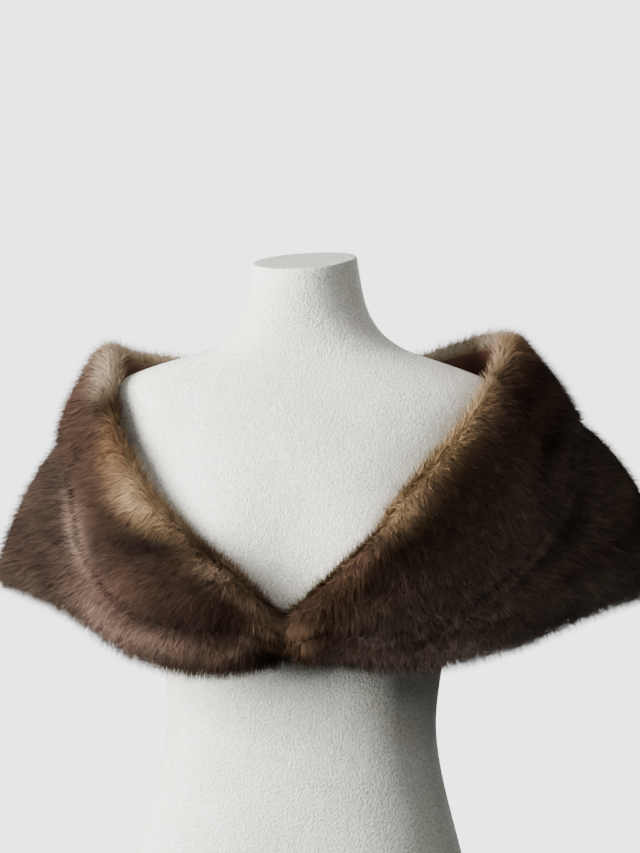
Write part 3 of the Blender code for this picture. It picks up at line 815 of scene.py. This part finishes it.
coats = {}
for seed, node in enumerate(FUR_NODES):
    skin = leathers[node]
    roots, normals, deep, area, rng = plant(skin, node, LOCKS_PER_MM2, 100 + seed)
    inner, outer, stripes = (
        (NECK_LINE, COLLAR_EDGE, COLLAR_STRIPES) if node.startswith("collar") else (COLLAR_EDGE, HEM, BODY_STRIPES)
    )

    def colour_at(points, normals, seed=seed, inner=inner, outer=outer, stripes=stripes):
        near, far = distance_to(inner, points)[0], distance_to(outer, points)[0]
        return pelt_colour(points, normals, near / (near + far), stripes, 40)

    foot, tip, side, stray, facing = comb(roots, normals, deep, node, rng)
    colour = colour_at(roots, normals)
    # painted sheen, partly also their own colour: guard hairs that stand up are painted paler and greyer
    colour = colour + stray[:, None] * (0.12 * colour + 0.006)  # guard hairs that stand up are paler and greyer
    soft = unit(facing + 0.35 * unit(tip - foot) + 0.4 * rng.normal(0, 1, roots.shape))
    order = np.argsort(distance_to(NECK_LINE, roots)[1], kind="stable")
    pieces = math.ceil(len(roots) / MOST_LOCKS)
    coats[node] = []
    for i, chosen in enumerate(np.array_split(order, pieces)):
        name = node + "_hair" + ("_" + "abcd"[i] if pieces > 1 else "")
        coats[node].append(
            blades(name, foot[chosen], tip[chosen], side[chosen], colour[chosen], soft[chosen], stray[chosen], rng)
        )
    co = corners_of(skin.data)
    under = np.ones((len(co), 4))
    under[:, :3] = colour_at(co, fur_normals[node])
    skin.data.attributes.new("pelt", "FLOAT_COLOR", "POINT").data.foreach_set("color", under.ravel())
    print(node, len(roots), "locks on", round(area, 3), "square metres, in", pieces, "pieces")

# %% Mink hair
# Each lock takes its pelt's colour, painted darker towards its foot as painted shade where the eye looks
# in between the hairs, and a little lighter or darker at random from lock to lock.
mink_hair, tree, shader = new_material("Mink hair", Roughness=0.6, Specular_IOR_Level=0.03)
pelt = add_node(tree, "ShaderNodeAttribute", attribute_name="pelt")
along = add_node(tree, "ShaderNodeAttribute", attribute_name="along_hair")
lot = add_node(tree, "ShaderNodeAttribute", attribute_name="hair_lot")
# painted shade: a lock is darker at its foot, where the hairs shade one another
root_painted_shade = add_node(
    tree, "ShaderNodeValToRGB", {"Fac": along.outputs["Fac"]},
    stops=[(0.0, "#8A827A"), (0.5, "#D4D0CC"), (1.0, "#FFFFFF")],
)
lot_shade = add_node(
    tree, "ShaderNodeValToRGB", {"Fac": lot.outputs["Fac"]},
    stops=[(0.0, "#C4BCB6"), (0.6, "#E6E2DE"), (1.0, "#FFFFFF")],
)
shaded = add_node(
    tree, "ShaderNodeMix", {0: 1.0, 6: pelt.outputs["Color"], 7: root_painted_shade.outputs["Color"]},
    data_type="RGBA", blend_type="MULTIPLY",
)
hair_colour = add_node(
    tree, "ShaderNodeMix", {0: 1.0, 6: shaded.outputs[2], 7: lot_shade.outputs["Color"]},
    data_type="RGBA", blend_type="MULTIPLY",
)
tree.links.new(hair_colour.outputs[2], shader.inputs["Base Color"])

# %% Underfur on leather
# Under the guard hairs lies the dense woolly underfur: a dull ground of the pelt's colour, painted darker as shade
# between the hairs, with a fine woolly grain.
underfur, tree, shader = new_material("Mink underfur on leather", Roughness=0.85, Specular_IOR_Level=0.05)
place = add_node(tree, "ShaderNodeTexCoord").outputs["Object"]
pelt = add_node(tree, "ShaderNodeAttribute", attribute_name="pelt")
wool = add_node(tree, "ShaderNodeTexNoise", {"Vector": place, "Scale": 900.0, "Detail": 3.0})
ground_painted_shade = add_node(
    tree, "ShaderNodeValToRGB", {"Fac": wool.outputs["Fac"]}, stops=[(0.3, "#6A625A"), (0.7, "#A3988C")]
)
ground = add_node(
    tree, "ShaderNodeMix", {0: 1.0, 6: pelt.outputs["Color"], 7: ground_painted_shade.outputs["Color"]},
    data_type="RGBA", blend_type="MULTIPLY",
)
tree.links.new(ground.outputs[2], shader.inputs["Base Color"])
bump = add_node(tree, "ShaderNodeBump", {"Height": wool.outputs["Fac"], "Distance": 0.001, "Strength": 0.5})
tree.links.new(bump.outputs["Normal"], shader.inputs["Normal"])


# %% [markdown]
# ## The lining
#
# Inside, the cape is lined with a brown satin that shows in the shadow of the neck opening and from
# below. Satin is woven with long floats, so it is smooth and shines softly, and it is cut a little
# too large, so it lies in low soft ripples. A copy of each thin solid is welded and rounded, and the
# ripples are moved into the face that looks at the form.

# %% Lining
linings = {}
for node in sorted(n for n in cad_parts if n.startswith("lining_")):
    cloth = welded_copy(node, node + "_satin", 55)
    co = corners_of(cloth.data)
    normals = np.array([v.normal for v in cloth.data.vertices])
    inwards = smooth(-(normals * unit(co * (1, 1, 0))).sum(axis=1), 0.1, 0.7)
    ripple = 0.5 + 0.5 * soft_noise(co * (1, 1, 0.35), 26 * MM, 21)
    co += normals * (inwards * ripple * 1.6 * MM)[:, None]
    cloth.data.vertices.foreach_set("co", co.ravel())
    cloth.data.update()
    linings[node] = cloth
    print(cloth.name, len(cloth.data.polygons), "faces")

# %% Satin
# Acetate satin in a dark red brown: long floats of a bright filament, so it is smooth with a soft sheen.
satin, tree, shader = new_material(
    "Acetate satin", Roughness=0.38, Specular_IOR_Level=0.5, Sheen_Weight=0.25, Sheen_Roughness=0.4
)
place = add_node(tree, "ShaderNodeTexCoord").outputs["Object"]
floats = add_node(
    tree, "ShaderNodeTexWave", {"Vector": place, "Scale": 260.0, "Distortion": 1.5, "Detail": 2.0},
    bands_direction="DIAGONAL",
)
cloudy = add_node(tree, "ShaderNodeTexNoise", {"Vector": place, "Scale": 22.0, "Detail": 3.0})
browns = add_node(
    tree, "ShaderNodeValToRGB", {"Fac": cloudy.outputs["Fac"]}, stops=[(0.3, "#43291F"), (0.7, "#633F32")]
)
tree.links.new(browns.outputs["Color"], shader.inputs["Base Color"])
bump = add_node(tree, "ShaderNodeBump", {"Height": floats.outputs["Fac"], "Distance": 0.0003, "Strength": 0.3})
tree.links.new(bump.outputs["Normal"], shader.inputs["Normal"])
for node, cloth in linings.items():
    cloth.data.materials.append(satin)
    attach(cloth, "root")
    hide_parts(node)

for node, skin in leathers.items():
    skin.data.materials.append(underfur)
    if node.startswith("collar"):
        skin.data.materials.append(satin)
    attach(skin, "root")
    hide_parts(node)
    for coat in coats[node]:
        coat.data.materials.append(mink_hair)
        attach(coat, "root")
